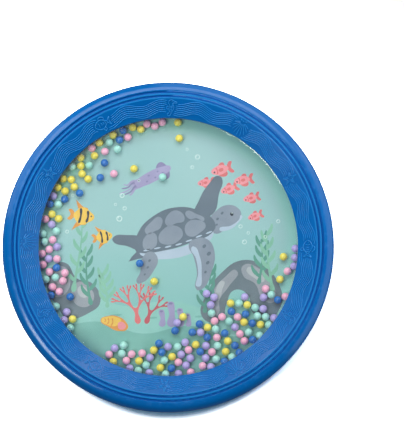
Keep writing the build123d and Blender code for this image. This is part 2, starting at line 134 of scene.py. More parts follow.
class Wire:
    """A socket in the node tree of a material or a world, to be used in Python expressions."""

    def __init__(self, owner, socket=None):
        self.owner = owner
        self.socket = socket

    def node(self, kind, feeds=None, settings=None, out=0):
        """Adds a node, sets it up, feeds its sockets and gives one of its outputs."""
        tree = self.owner.node_tree
        made = tree.nodes.new("ShaderNode" + kind)
        for name, value in (settings or {}).items():
            setattr(made, name, value)
        for key, value in (feeds or {}).items():
            if isinstance(value, Wire):
                tree.links.new(value.socket, made.inputs[key])
            else:
                made.inputs[key].default_value = value
        return Wire(self.owner, made.outputs[out] if made.outputs else None)

    def math(self, operation, *values):
        return self.node("Math", dict(enumerate(values)), {"operation": operation})

    def __add__(self, other):
        return self.math("ADD", self, other)

    __radd__ = __add__

    def __sub__(self, other):
        return self.math("SUBTRACT", self, other)

    def __rsub__(self, other):
        return self.math("SUBTRACT", other, self)

    def __mul__(self, other):
        return self.math("MULTIPLY", self, other)

    def __truediv__(self, other):
        return self.math("DIVIDE", self, other)

    def between(self, low, high):
        """Rises smoothly from 0 at low to 1 at high."""
        feeds = {"Value": self, "From Min": low, "From Max": high}
        return self.node("MapRange", feeds, {"interpolation_type": "SMOOTHSTEP"})

    def blend(self, colour, other):
        """The first colour where this mask is 0 and the other where it is 1."""
        return self.node("Mix", {0: self, 6: colour, 7: other}, {"data_type": "RGBA"}, out=2)

    def mix(self, shader, other):
        """The first shader where this mask is 0 and the other where it is 1."""
        return self.node("MixShader", {0: self, 1: shader, 2: other})

    def ramp(self, stops):
        """A colour for each value, from pairs of place and colour."""
        wash = self.node("ValToRGB", {0: self})
        elements = wash.socket.node.color_ramp.elements
        for element, (place, colour) in zip(elements, (stops[0], stops[-1])):
            element.position = place
            element.color = colour
        for place, colour in stops[1:-1]:
            elements.new(place).color = colour
        return wash

    def noise(self, scale, detail=2.0, roughness=0.5):
        """Soft random values over the coordinates that this wire holds."""
        feeds = {"Vector": self, "Scale": scale, "Detail": detail, "Roughness": roughness}
        return self.node("TexNoise", feeds)

    def stretched(self, scale):
        """Coordinates scaled along each axis."""
        return self.node("Mapping", {"Vector": self, "Scale": scale})

    def axis(self, name):
        return self.node("SeparateXYZ", {0: self}, out=name)

    def length(self):
        return self.node("VectorMath", {0: self}, {"operation": "LENGTH"}, out="Value")

    def radius(self):
        """Distance from the drum's axis."""
        return self.stretched((1.0, 1.0, 0.0)).length()

    def bump(self, strength, distance):
        """A surface normal that takes this value for a height."""
        return self.node("Bump", {"Strength": strength, "Distance": distance, "Height": self})


def srgb(red, green, blue):
    """A colour as it is read off a screen, 0 to 255, in the linear values that shaders use."""
    shares = [value / 255 for value in (red, green, blue)]
    return tuple(s / 12.92 if s <= 0.04045 else ((s + 0.055) / 1.055) ** 2.4 for s in shares) + (1.0,)


def start_tree(owner):
    """The wire to grow nodes from, in the emptied tree of a material or a world."""
    owner.use_nodes = True
    owner.node_tree.nodes.clear()
    return Wire(owner)


def start_material(name):
    """The wire of the object's own coordinates in a new material."""
    return start_tree(bpy.data.materials.new(name)).node("TexCoord", out="Object")


def close_material(shader):
    """Sends a shader to its material's output and gives the material."""
    material = shader.owner
    shader.node("OutputMaterial", {"Surface": shader})
    print("material", material.name, "with", len(material.node_tree.nodes), "nodes")
    return material


def close_principled(colour, roughness, normal=None, metallic=0.0, specular=0.5):
    """Closes a material with the Principled shader."""
    feeds = {"Base Color": colour, "Roughness": roughness, "Metallic": metallic}
    feeds["Specular IOR Level"] = specular
    if normal is not None:
        feeds["Normal"] = normal
    return close_material(colour.node("BsdfPrincipled", feeds))


# %% [markdown]
# The picture is taken from almost straight above with a long lens, about a metre away, which keeps the
# rim round: a short one close by would show more of the side wall. The lens follows from how large the
# drum is in the frame, and the aim from where it stands there.

# %% Camera
FRAME_HEIGHT = 431  # pixels, the frame's longer side
OUTLINE_IN_FRAME = 165.0  # radius of the drum's outline, in pixels
AIM_OFFSET = Vector((25.5, 22.7, 25.0)) * MM  # from the drum's foot to the middle of the frame
CAMERA_DISTANCE = 1.0
CAMERA_ELEVATION = math.radians(83.0)


def stand(name, data, at=(0, 0, 0), facing=None):
    """A new object in the scene, where wanted turned to face that way."""
    thing = bpy.data.objects.new(name, data)
    bpy.context.scene.collection.objects.link(thing)
    thing.location = at
    if facing is not None:
        thing.rotation_mode = "QUATERNION"
        thing.rotation_quaternion = facing.to_track_quat("-Z", "Y")
    return thing


camera_data = bpy.data.cameras.new("camera")
back = Vector((0, -math.cos(CAMERA_ELEVATION), math.sin(CAMERA_ELEVATION)))
bpy.context.scene.camera = stand("camera", camera_data, AIM_OFFSET + back * CAMERA_DISTANCE, -back)
camera_data.sensor_width = 36.0  # millimetres, along the frame's longer side
outline_on_sensor = camera_data.sensor_width * OUTLINE_IN_FRAME / FRAME_HEIGHT
camera_data.lens = outline_on_sensor * CAMERA_DISTANCE / DRUM_RADIUS
print(f"lens {camera_data.lens:.1f} mm")

# %% [markdown]
# The drum lies on a white studio floor. Light enough to make it pure white would burn out the pale
# colours of the print, so the camera sees its paper five times over, light and shadow alike, and plain
# white further out. All the drum still shades is the narrow corner under its near edge, which light from
# the far side can't reach. Every other ray sees a mid grey, which keeps the edges of the shiny rim dark.
# The underside is see-through and the floor stops no lamp, so the drum's back shows from below.

# %% Floor
FLOOR_RADIUS = 8.0
FLOOR_GAP = 0.05 * MM  # keeps the floor from sharing a plane with the resting face
FLOOR_SEGMENTS = 64
PAPER_EDGE = (0.20, 0.27)  # where the lit paper starts to turn plain white, and where it is
PAPER_GAIN = 5  # how often the camera sees the paper's light
PAPER_TONES = (srgb(42, 66, 80), srgb(207, 214, 217))  # in the dark corner and in the open
MIRRORED_PAPER = srgb(116, 122, 130)
CORNER_REACH = 24 * MM  # how far from the drum the dark corner can be seen
CORNER_LIGHT = (-0.04, 0.86, 0.50)  # where the light comes from that is missing there
CORNER_OPEN = (0.375, 0.48)  # how open the darkest and the lightest place of the corner are to it
CORNER_SAMPLES = 64


def floor_paper():
    place = start_material("floor_paper")
    side = place.node("CombineXYZ", dict(enumerate(CORNER_LIGHT)))
    reach = {"Distance": CORNER_REACH, "Normal": side}
    corner = place.node("AmbientOcclusion", reach, {"samples": CORNER_SAMPLES}, out="AO")
    paper = place.node("BsdfDiffuse", {"Color": corner.between(*CORNER_OPEN).blend(*PAPER_TONES)})
    bright = paper
    for _ in range(PAPER_GAIN - 1):
        bright = place.node("AddShader", {0: bright, 1: paper})
    white = place.node("Emission", {"Color": WHITE, "Strength": 1.0})
    ground = place.length().between(*PAPER_EDGE).mix(bright, white)
    mirrored = place.node("BsdfDiffuse", {"Color": MIRRORED_PAPER})
    lit = place.node("LightPath", out="Is Camera Ray").mix(mirrored, ground)
    underside = place.node("NewGeometry", out="Backfacing")
    return close_material(underside.mix(lit, place.node("BsdfTransparent")))


floor_mesh = bpy.data.meshes.new("floor")
sheet = bmesh.new()
bmesh.ops.create_circle(sheet, cap_ends=True, radius=FLOOR_RADIUS, segments=FLOOR_SEGMENTS)
sheet.to_mesh(floor_mesh)
sheet.free()
floor_mesh.materials.append(floor_paper())
floor = stand("floor", floor_mesh, (0, 0, -FLOOR_GAP))
floor.visible_shadow = False

# %% [markdown]
# The shiny roll mirrors the room like a bent chrome strip, so the light can be read off it. It is bright
# from the right over the top to the upper left, with one gap, and dark round the bottom. At the bottom
# its crest hardly mirrors those bright walls, so they are low and close: a small light box with an open
# front. A short white streak on the lower left is a softbox high above. Two more, out of the film's
# mirror, light the print, and one under the floor shows the back. A brightness of 1 is white paper,
# whatever the size of the panel. The camera sees the room itself as white.

# %% Light box
ROOM_LIGHT = 0.05
ROOM_TINT = srgb(236, 243, 255)
PANELS = (  # name, middle, direction it faces, width, height, brightness
    ("far_wall", (0.19, 0.26, 0.11), (0, -1, 0), 0.42, 0.22, 0.6),
    ("far_left_wall", (-0.215, 0.13, 0.11), (0.817, -0.577, 0), 0.17, 0.22, 1.0),
    ("right_wall", (0.27, 0.01, 0.15), (-1, 0, 0), 0.46, 0.30, 1.0),
    ("key_softbox", (-0.04, 0.385, 0.51), (0.04, -0.385, -0.48), 0.75, 0.34, 2.7),
    ("top_softbox", (-0.20, 0.245, 0.63), (0.20, -0.245, -0.60), 0.36, 0.22, 1.4),
    ("streak_softbox", (-0.40, -0.22, 0.87), (0.40, 0.22, -0.85), 0.20, 0.56, 9.4),
    ("under_softbox", (0.10, -0.12, -0.70), (-0.10, 0.12, 0.70), 0.60, 0.60, 4.5),
)

world = bpy.data.worlds.new("room")
bpy.context.scene.world = world
room = start_tree(world)
glow = room.node("Background", {"Color": ROOM_TINT, "Strength": ROOM_LIGHT})
plain = room.node("Background", {"Color": WHITE, "Strength": 1.0})
seen = room.node("LightPath", out="Is Camera Ray").mix(glow, plain)
room.node("OutputWorld", {"Surface": seen})

for name, middle, faces, width, height, brightness in PANELS:
    data = bpy.data.lights.new(name, "AREA")
    data.shape = "RECTANGLE"
    data.size = width
    data.size_y = height
    data.energy = 4 * width * height * brightness
    stand(name, data, middle, Vector(faces)).visible_camera = False
bpy.context.scene.view_settings.view_transform = "Standard"

# %% [markdown]
# Both rims are the same blue plastic. Up close it isn't one flat blue: the melt leaves slow clouds in its
# tone, the skin has a faint orange peel, and handling dulls the crest and scratches the face that it
# rests on. All of that is noise on the object's own coordinates, so it stays put from every side. Raised
# work and the ridges beside the two grooves get a paler tone: partly rubbed wear, as they are touched
# most, and partly a painted highlight for the light that they catch. The grooves get a darker blue as
# painted shade, and a share of Metallic tints what they mirror, because in a groove blue wall mirrors
# blue wall.

# %% Blue rim plastic
RIM_BLUE = srgb(0, 100, 174)
RIM_BLUE_DEEP = srgb(0, 93, 166)
# paler blue of raised work and ridges: partly rubbed wear, partly painted highlight
RAISED_WORN_HIGHLIT_BLUE = srgb(36, 142, 214)
RAISED_WORN_HIGHLIT_BLUE_DEEP = srgb(24, 126, 202)
RUBBED_BLUE = srgb(62, 132, 205)
# painted shade: the darker blue put into the two grooves
GROOVE_SHADE_BLUE = srgb(0, 80, 156)
RING_EDGE = (0.40 * MM, 0.85 * MM)  # where a groove's or ridge's tone starts to fade, and where it ends


def rim_plastic(name, blue, deep):
    place = start_material(name)
    height = place.axis("Z")
    radius = place.radius()
    clouds = place.noise(28.0, 3.0)
    scratches = place.stretched((900.0, 60.0, 300.0)).noise(1.0, 4.0, 0.7).between(0.60, 0.75)
    patches = place.noise(220.0, 4.0).between(0.45, 0.8)
    crest = height.between(DRUM_HEIGHT - 0.9 * MM, DRUM_HEIGHT) * patches
    foot = 1 - height.between(0.0, 0.4 * MM)
    rubbed = crest * 0.22 + foot * scratches * 0.5
    front = height.between(DRUM_HEIGHT - 3 * MM, DRUM_HEIGHT - 2 * MM)

    def rings_at(radii):
        """A mask of narrow rings on the front."""
        offs = [radius.math("ABSOLUTE", radius - ring) for ring in radii]
        return front * sum(1 - off.between(*RING_EDGE) for off in offs)

    grooves = rings_at(GROOVES)
    colour = rubbed.blend(clouds.blend(deep, blue), RUBBED_BLUE)
    # partly painted highlight: the ridges beside the grooves are paler, for rubbing and for the light they
    # catch
    colour = (rings_at(RIDGES) * 0.42).blend(colour, RAISED_WORN_HIGHLIT_BLUE)
    # painted shade: the two grooves get a darker blue, as shade falls in them
    colour = grooves.blend(colour, GROOVE_SHADE_BLUE)
    rough = 0.15 + clouds * 0.07 + scratches * 0.05 + rubbed * 0.25 + grooves * 0.35
    peel = place.noise(1400.0).bump(0.06, 0.1 * MM)
    return close_principled(colour, rough, peel, metallic=grooves * 0.8, specular=0.38)


def paint(node, material):
    """Gives a CAD node a finish."""
    nodes[node].material_slots[0].material = material


rim_blue = rim_plastic("rim_plastic_blue", RIM_BLUE, RIM_BLUE_DEEP)
# the ribs' material is paler blue: partly rubbed wear, partly painted highlight
raised_worn_highlit_blue = rim_plastic("rim_plastic_raised_worn_highlit", RAISED_WORN_HIGHLIT_BLUE, RAISED_WORN_HIGHLIT_BLUE_DEEP)
paint("front_rim", rim_blue)
paint("rear_rim", rim_blue)

# %% [markdown]
# The sloping band is embossed: a ribbon of seven wavy lines runs round it and breaks off at twelve little
# figures of sea life, one every thirty degrees. A bump map would vanish from the side and from the mesh,
# so the lines are real ribs. Each is a small rounded section swept along a path on the band, sunk a
# little into it, and drawn out thin at its ends.

# %% Ribs on the band
RIB_SECTION = ((-0.5, -0.7), (-0.36, 0.45), (-0.14, 0.95), (0.14, 0.95), (0.36, 0.45), (0.5, -0.7))
RIB_ENDS = (0.3, 0.75, 0.95)  # how full the section is at a rib's first and last points


def add_piece(name, mesh, body):
    """A new piece from a mesh, on a body of the drum."""
    piece = stand(name, mesh)
    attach(piece, body)
    print(name, "has", len(mesh.vertices), "points")
    return piece


def add_smooth(name, points, faces, material, body, slot):
    """A new smooth piece from points and faces."""
    mesh = bpy.data.meshes.new(name)
    mesh.from_pydata(points, [], faces)
    mesh.update()
    mesh.polygons.foreach_set("use_smooth", [True] * len(mesh.polygons))
    mesh.materials.append(material)
    return add_piece(name, mesh, body)


def sew(first, rings, around, closed=False):
    """Faces of a tube, from equal rings of points that follow one another."""
    faces = []
    for ring in range(rings if closed else rings - 1):
        here = first + ring * around
        there = first + (ring + 1) % rings * around
        for k in range(around):
            n = (k + 1) % around
            faces.append((here + k, there + k, there + n, here + n))
    return faces


class Relief:
    """Raised work on the band, gathered rib by rib. Paths are angles in radians and radii in metres."""

    def __init__(self):
        self.points = []
        self.faces = []

    def rib(self, path, width, height, closed=False):
        angles, radii = np.array(path).T
        flat = np.stack([*polar(radii, angles), band_height(radii)], 1)
        inward = np.stack([*polar(-1, angles), np.zeros(len(angles))], 1)
        normal = inward * math.sin(BAND_TILT) + np.array([0, 0, math.cos(BAND_TILT)])
        if closed:
            ahead = np.roll(flat, -1, 0) - np.roll(flat, 1, 0)
        else:
            ahead = np.gradient(flat, axis=0)
        side = np.cross(normal, ahead)
        side /= np.linalg.norm(side, axis=1, keepdims=True)
        full = np.ones(len(flat))
        if not closed:
            for step, share in enumerate(RIB_ENDS):
                full[step] = min(full[step], share)
                full[-1 - step] = min(full[-1 - step], share)
        first = len(self.points)
        for centre, across, up, share in zip(flat, side, normal, full):
            for along, rise in RIB_SECTION:
                lift = rise * share if rise > 0 else rise
                self.points.append(centre + across * (along * width * share) + up * (lift * height))
        around = len(RIB_SECTION)
        self.faces += sew(first, len(flat), around, closed)
        if not closed:
            end = len(self.points)
            self.faces.append(tuple(range(first, first + around)))
            self.faces.append(tuple(range(end - 1, end - 1 - around, -1)))

    def finish(self, name):
        add_smooth(name, self.points, self.faces, raised_worn_highlit_blue, "drum", "rim_plastic")


def knots_of(line):
    """Knots of a line, which may be a text of x,y pairs with a third value at a sharp corner."""
    if isinstance(line, str):
        return [tuple(float(value) for value in knot.split(",")) for knot in line.split()]
    return line


def smooth_line(line, closed=False, steps=5):
    """Points of a smooth curve through a line's knots."""
    knots = [np.array(knot, float) for knot in knots_of(line)]
    ends = [knots[-1]] + knots + knots[:2] if closed else [knots[0]] + knots + [knots[-1]]
    curve = []
    for a, b, c, d in zip(ends, ends[1:], ends[2:], ends[3:]):
        bend = 2 * a - 5 * b + 4 * c - d
        twist = 3 * b - a - 3 * c + d
        for t in np.arange(steps) / steps:
            curve.append((2 * b + (c - a) * t + bend * t**2 + twist * t**3) / 2)
    return curve if closed else curve + [knots[-1]]


# %% [markdown]
# Four figures repeat round the rim: fish, starfish, scallop and sea horse. Each is drawn once, in
# millimetres on a small flat card whose y axis points away from the window, as closed outlines and open
# strokes. Any other line is a text with an x and a y for each knot. The starfish and the scallop
# follow a formula.

# %% Figures of sea life
def starfish():
    points = []
    for step in range(10):
        reach = 5.2 if step % 2 == 0 else 2.1
        x, y = polar(reach, math.pi / 2 + step * math.pi / 5)
        points.append((0.86 * x, y))
    arms = [[(share * x, share * y) for share in (0.12, 0.4, 0.74)] for x, y in points[::2]]
    return [points], arms


def scallop():
    hinge = 4.6
    left_ear = "-2.7,5.6 -1.9,5.3 -1.1,4.9"
    right_ear = "1.1,4.9 1.9,5.3 2.7,5.6"
    knob = "-0.5,4.7 0,5 0.5,4.7"
    fan = []
    for step in range(-4, 5):
        turn = math.radians(16.5 * step)
        reach = 10.6 * math.cos(0.8 * turn)
        along = np.linspace(2.0, reach, 6)
        fan.append([(k * math.sin(turn), hinge - k * math.cos(turn)) for k in along])
    return [], [left_ear, right_ear, knob] + fan


def fish():
    body = "5.8,0.2 3.6,2.6 0.2,3.3 -2.8,1.7 -4.3,0.3 -2.8,-1.4 0.2,-3.1 3.6,-2.3"
    tail = "-4,0.4 -6.9,3 -5.9,0.2 -6.9,-2.7 -4,0.1"
    gill = "3,2 2.2,0.2 3,-1.7"
    back_fin = "2,3.1 0.2,5.2 -2.6,4.2 -2.2,2.3"
    belly_fin = "1,-3 -0.6,-4.9 -2,-4.2 -1.4,-2.4"
    eye = "4.2,0.7 4.45,0.9 4.6,1.1"
    scales = [[(x, 1.1), (x - 0.8, 0.2), (x, -0.8)] for x in (0.9, -0.7, -2.2)]
    return [body], [tail, gill, back_fin, belly_fin, eye] + scales


def sea_horse():
    spine = "-0.2,5.6 1.6,4.9 2.3,3.2 1.5,1.4 2,-0.4 1.9,-2.2 0.9,-3.9"
    curl = "0.9,-3.9 1.2,-5.3 2.8,-5.6 3.5,-4.5 2.8,-3.6 2.1,-4.3"
    chest = "-0.4,2.8 -1.5,1.2 -1.4,-0.8 -0.3,-2.6 0.3,-4.4"
    snout = "-0.2,5.6 -1.5,4.7 -3.6,4 -3.5,3.3 -1.4,3.3 -0.4,2.8"
    fin = "2,1 3.6,0.9 3.7,-0.7 2.1,-0.8"
    eye = "-0.5,4.1 -0.3,4.3 -0.1,4.4"
    belts = []
    for k in range(4):
        left, right = (-0.9 + 0.15 * k, 1.4 - 1.1 * k), (1.2, 1.0 - 1.1 * k)
        sag = ((left[0] + right[0]) / 2, (left[1] + right[1]) / 2 - 0.2)
        belts.append([left, sag, right])
    return [], [spine, curl, chest, snout, fin, eye] + belts


FIGURES = (fish, starfish, scallop, sea_horse)
FIGURE_COUNT = 12
FIGURE_START = math.radians(-1.3)
FIGURE_LINE = (0.68 * MM, 0.62 * MM)  # width and height of a rib
WAVE_LINE = (0.58 * MM, 0.60 * MM)

ornaments = Relief()
figure_points = []
for place in range(FIGURE_COUNT):
    middle = FIGURE_START + 2 * math.pi * place / FIGURE_COUNT
    outlines, strokes = FIGURES[place % len(FIGURES)]()
    for line, closed in [(line, True) for line in outlines] + [(line, False) for line in strokes]:
        curve = smooth_line(line, closed)
        path = [(middle + x * MM / BAND_MIDDLE, BAND_MIDDLE + y * MM) for x, y in curve]
        ornaments.rib(path, *FIGURE_LINE, closed)
        figure_points += [polar(radius, angle) for angle, radius in path]
figure_points = np.array(figure_points)
ornaments.finish("rim_ornaments")

# %% [markdown]
# Each wave line is followed all the way round in small steps. The steps that come too close to a figure
# are left out, so the lines end neatly in front of every fish and shell.

# %% Wave lines
WAVE_LINES = 7
WAVE_PITCH = 1.34 * MM
WAVE_SWING = 1.6 * MM
WAVES_ROUND = 24
WAVE_CREST = math.radians(93.0)
WAVE_STEPS = 1500
FIGURE_CLEARANCE = 1.1 * MM
SHORTEST_LINE = 8  # steps

waves = Relief()
angles = np.arange(WAVE_STEPS) * 2 * math.pi / WAVE_STEPS
for line in range(WAVE_LINES):
    offset = (line - (WAVE_LINES - 1) / 2) * WAVE_PITCH
    radii = BAND_MIDDLE + offset + WAVE_SWING * np.cos(WAVES_ROUND * (angles - WAVE_CREST))
    spots = np.stack(polar(radii, angles), 1)
    nearest = np.array([np.hypot(*(figure_points - spot).T).min() for spot in spots])
    free = nearest > FIGURE_CLEARANCE
    start = int(np.argmin(free))
    run = []
    for step in range(start, start + WAVE_STEPS + 1):
        k = step % WAVE_STEPS
        if free[k]:
            run.append((angles[k], radii[k]))
            continue
        if len(run) >= SHORTEST_LINE:
            waves.rib(run, *WAVE_LINE)
        run = []
waves.finish("rim_waves")

# %% [markdown]
# Behind the rims sit the shell ring, the two hoops and the screws. They show through the clear skin at a
# slant and from the back, in the screw wells. The ring is moulded in the rims' blue but duller, the hoops
# in natural white, and the plating of the zinc plated screws breaks up the reflection in fine spangles.

# %% Ring, hoops and screws
def moulded_plastic(name, colour, deep, roughness):
    place = start_material(name)
    clouds = place.noise(45.0, 3.0)
    grain = place.noise(1800.0).bump(0.12, 0.1 * MM)
    return close_principled(clouds.blend(deep, colour), roughness + clouds * 0.12, grain)


def zinc_plate():
    place = start_material("zinc_plated_steel")
    spangle = place.node("TexVoronoi", {"Vector": place, "Scale": 1600.0}, out="Distance")
    stain = place.noise(420.0, 3.0)
    colour = stain.blend(srgb(168, 172, 178), srgb(206, 208, 206))
    return close_principled(colour, 0.26 + stain * 0.2, spangle.bump(0.2, 0.05 * MM), metallic=1.0)


paint("shell_ring", moulded_plastic("ring_plastic_blue", srgb(10, 98, 186), srgb(4, 84, 168), 0.38))
hoop_white = moulded_plastic("hoop_plastic_natural", srgb(226, 228, 224), srgb(208, 212, 210), 0.42)
paint("clear_skin_hoop", hoop_white)
paint("picture_skin_hoop", hoop_white)
paint("rim_screws", zinc_plate())

# %% [markdown]
# The clear skin is a thin film, so light passes it without bending: a Transparent shader, not glass. It
# also mirrors a few percent, and handling leaves a faint haze with rubbed streaks, a thin share of plain
# white. The mirror grows with the fifth power of the slant, which Layer Weight gives alike on both faces.
# A Fresnel node would take the far face for the inside of a thick block, and turn it into a full mirror.

# %% Clear film
FILM_SHINE = 0.024  # share of light that each side mirrors, looked at squarely


def clear_film(name, wear, dullness):
    place = start_material(name)
    mist = place.noise(14.0, 3.0).between(0.30, 0.75)
    streaks = place.stretched((700.0, 45.0, 45.0)).noise(1.0, 3.0, 0.65).between(0.62, 0.80)
    rubbing = streaks * wear
    haze = 0.006 + mist * 0.008 + rubbing * 0.008
    clear = place.node("BsdfTransparent", {"Color": (0.997, 1.0, 0.999, 1.0)})
    mirror = place.node("BsdfGlossy", {"Color": WHITE, "Roughness": dullness + rubbing * 0.1})
    veil = place.node("BsdfDiffuse", {"Color": srgb(238, 243, 245)})
    slant = place.node("LayerWeight", {"Blend": 0.5}, out="Facing")
    glance = slant * slant
    gloss = FILM_SHINE + glance * glance * slant * (1 - FILM_SHINE)
    return close_material(haze.mix(gloss.mix(clear, mirror), veil))


paint("clear_skin", clear_film("clear_film", 1.0, 0.07))

# %% [markdown]
# Where the rim clamps the film, it doesn't stay flat: it bends up against the lip in a narrow welt, more
# on one side than on the other, because no clamp pulls evenly. There the bend draws a thin white line
# along the window's edge, where its curve faces the lamp.

# %% Welt of the film
WELT_WIDTH = 1.15 * MM
WELT_SLOPES = (math.tan(math.radians(13)), math.tan(math.radians(23)))  # at its inner and outer edge
WELT_THICKNESS = 0.12 * MM
WELT_PEAK = math.radians(40)  # where the film is bent up most
WELT_LEAST = 0.12  # share of the bend on the other side
WELT_STEPS = 6
WELT_SEGMENTS = 360

film_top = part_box("clear_skin")[1].z
upper = []
for step in range(WELT_STEPS + 1):
    share = step / WELT_STEPS
    slope = WELT_SLOPES[0] + (WELT_SLOPES[1] - WELT_SLOPES[0]) * share / 2
    upper.append((WINDOW_RADIUS - WELT_WIDTH * (1 - share), WELT_WIDTH * share * slope))
lower = [(radius, max(rise - WELT_THICKNESS, 0.0)) for radius, rise in upper[1:]]
section = lower + upper[::-1]
welt_points = []
for k in range(WELT_SEGMENTS):
    turn = 2 * math.pi * k / WELT_SEGMENTS
    pull = WELT_LEAST + (1 - WELT_LEAST) * max(0.0, math.cos(turn - WELT_PEAK))
    for radius, rise in section:
        welt_points.append((*polar(radius, turn), film_top + rise * pull))
welt_faces = sew(0, WELT_SEGMENTS, len(section), closed=True)
welt_film = clear_film("clear_film_welt", 0.1, 0.06)
add_smooth("film_welt", welt_points, welt_faces, welt_film, "drum", "clear_film")

# %% [markdown]
# The printed skin is a sheet with a sea scene on its upper side and bare white below. The water is a
# smooth wash, pale above and green below, so it is painted in the material: height in the picture chooses
# the tone, slow noise bends it, and slanting shafts of light brighten it from the surface. Towards the
# rim it turns a lighter green: partly a green in the print, partly painted light that lifts the shade
# which the lip casts there.

# %% Water wash
PRINT_GRAIN = 2600.0  # grains along a metre
EDGE_WASH = (WINDOW_RADIUS - 12 * MM, WINDOW_RADIUS)  # where the wash turns green towards the rim
# partly painted light: a lighter green near the rim, where the lip casts shade
EDGE_GREEN_PAINTED_LIGHT = srgb(146, 212, 196)
SHAFT_TONE = srgb(190, 226, 224)
GRAIN_TONE = srgb(96, 160, 158)
BARE_WHITE = srgb(236, 238, 236)
WATER_STOPS = (
    (0.00, srgb(106, 172, 165)),
    (0.30, srgb(136, 196, 191)),
    (0.55, srgb(154, 199, 198)),
    (1.00, srgb(148, 191, 191)),
)


def printed_film():
    place = start_material("printed_film_water")
    x, y, z = (place.axis(name) for name in "XYZ")
    swell = (place.noise(9.0) - 0.5) * 0.16
    wash = (y / (2 * CHAMBER_RADIUS) + 0.5 + swell).ramp(WATER_STOPS)
    slant = x * 34.0 + y * 13.0
    shaft = slant.math("SINE", slant) * 0.5 + place.noise(16.0, 1.0) - 0.5
    shafts = shaft.between(0.1, 0.8) * y.between(-0.03, 0.09) * 0.20
    grain = place.noise(PRINT_GRAIN, 1.0)
    water = shafts.blend(wash, SHAFT_TONE)
    water = (grain * 0.10).blend(water, GRAIN_TONE)
    # partly painted light: near the rim the wash is lifted to a lighter green against the lip's shade
    water = place.radius().between(*EDGE_WASH).blend(water, EDGE_GREEN_PAINTED_LIGHT)
    bare = 1 - z.between(PICTURE_HEIGHT - 0.3 * MM, PICTURE_HEIGHT - 0.1 * MM)
    skin = grain.bump(0.05, 0.05 * MM)
    return close_principled(bare.blend(water, BARE_WHITE), 0.42 + grain * 0.16, skin)


paint("picture_skin", printed_film())

# %% [markdown]
# Everything that swims or grows is flat ink over the wash. Each shape is cut along a smooth closed
# outline, because a few knots then give a clean edge at any size, and becomes a slab a few hundredths of
# a millimetre thick. Shapes over one another stand on higher layers, counted from the figure's lowest,
# and all stay under the beads.

# %% Ink and cutting
INK_FOOT = 0.02 * MM  # how far a slab is sunk into the film
INK_TOP = 0.02 * MM  # lowest layer, above the film
INK_STEP = 0.006 * MM  # from layer to layer
WELD = 1e-6  # points closer than this become one
OVAL_KNOTS = 8
INK_TONES = {  # each ink's tone and its deeper one
    "slate": ((140, 154, 168), (128, 143, 158)),
    "slate_dark": ((102, 120, 134), (92, 110, 124)),
    "slate_pale": ((182, 202, 218), (170, 191, 208)),
    "rock": ((158, 167, 174), (142, 152, 160)),
    "rock_dark": ((112, 130, 138), (98, 117, 126)),
    "rock_pale": ((184, 192, 194), (170, 180, 184)),
    "dune": ((148, 206, 196), (136, 197, 186)),
    "dune_near": ((126, 188, 176), (112, 176, 164)),
    "kelp": ((138, 198, 172), (120, 184, 158)),
    "kelp_dark": ((92, 160, 142), (80, 148, 132)),
    "violet": ((166, 162, 198), (154, 150, 188)),
    "violet_dark": ((136, 132, 172), (126, 122, 162)),
    "coral": ((226, 122, 122), (212, 106, 110)),
    "coral_dark": ((196, 92, 102), (184, 82, 94)),
    "rose": ((240, 158, 164), (232, 144, 152)),
    "yellow": ((242, 205, 92), (234, 192, 78)),
    "orange": ((228, 158, 72), (218, 146, 62)),
    "foam": ((216, 238, 234), (204, 230, 226)),
    "night": ((44, 56, 68), (38, 48, 60)),
}


def ink(name, colour, deep):
    """A printing ink: its tone drifts a little and shows the grain of the press."""
    place = start_material("ink_" + name)
    drift = place.noise(55.0).between(0.25, 0.75)
    grain = place.noise(PRINT_GRAIN, 1.0)
    tone = (grain * 0.12).blend(drift.blend(colour, deep), deep)
    return close_principled(tone, 0.40 + grain * 0.16)


INKS = {name: ink(name, srgb(*tone), srgb(*deep)) for name, (tone, deep) in INK_TONES.items()}


def cut_slab(outlines):
    """A flat slab of unit thickness cut along closed outlines; an outline inside another is a hole."""
    curve = bpy.data.curves.new("outline", "CURVE")
    curve.dimensions = "2D"
    curve.fill_mode = "BOTH"
    curve.resolution_u = 6
    curve.extrude = 0.5
    for outline in outlines:
        knots = knots_of(outline)
        spline = curve.splines.new("BEZIER")
        spline.bezier_points.add(len(knots) - 1)
        spline.use_cyclic_u = True
        for point, knot in zip(spline.bezier_points, knots):
            point.co = (knot[0], knot[1], 0.0)
            kind = "VECTOR" if len(knot) == 3 else "AUTO"
            point.handle_left_type = kind
            point.handle_right_type = kind
    holder = bpy.data.objects.new("outline", curve)
    mesh = bpy.data.meshes.new_from_object(holder)
    bpy.data.objects.remove(holder)
    bpy.data.curves.remove(curve)
    return mesh


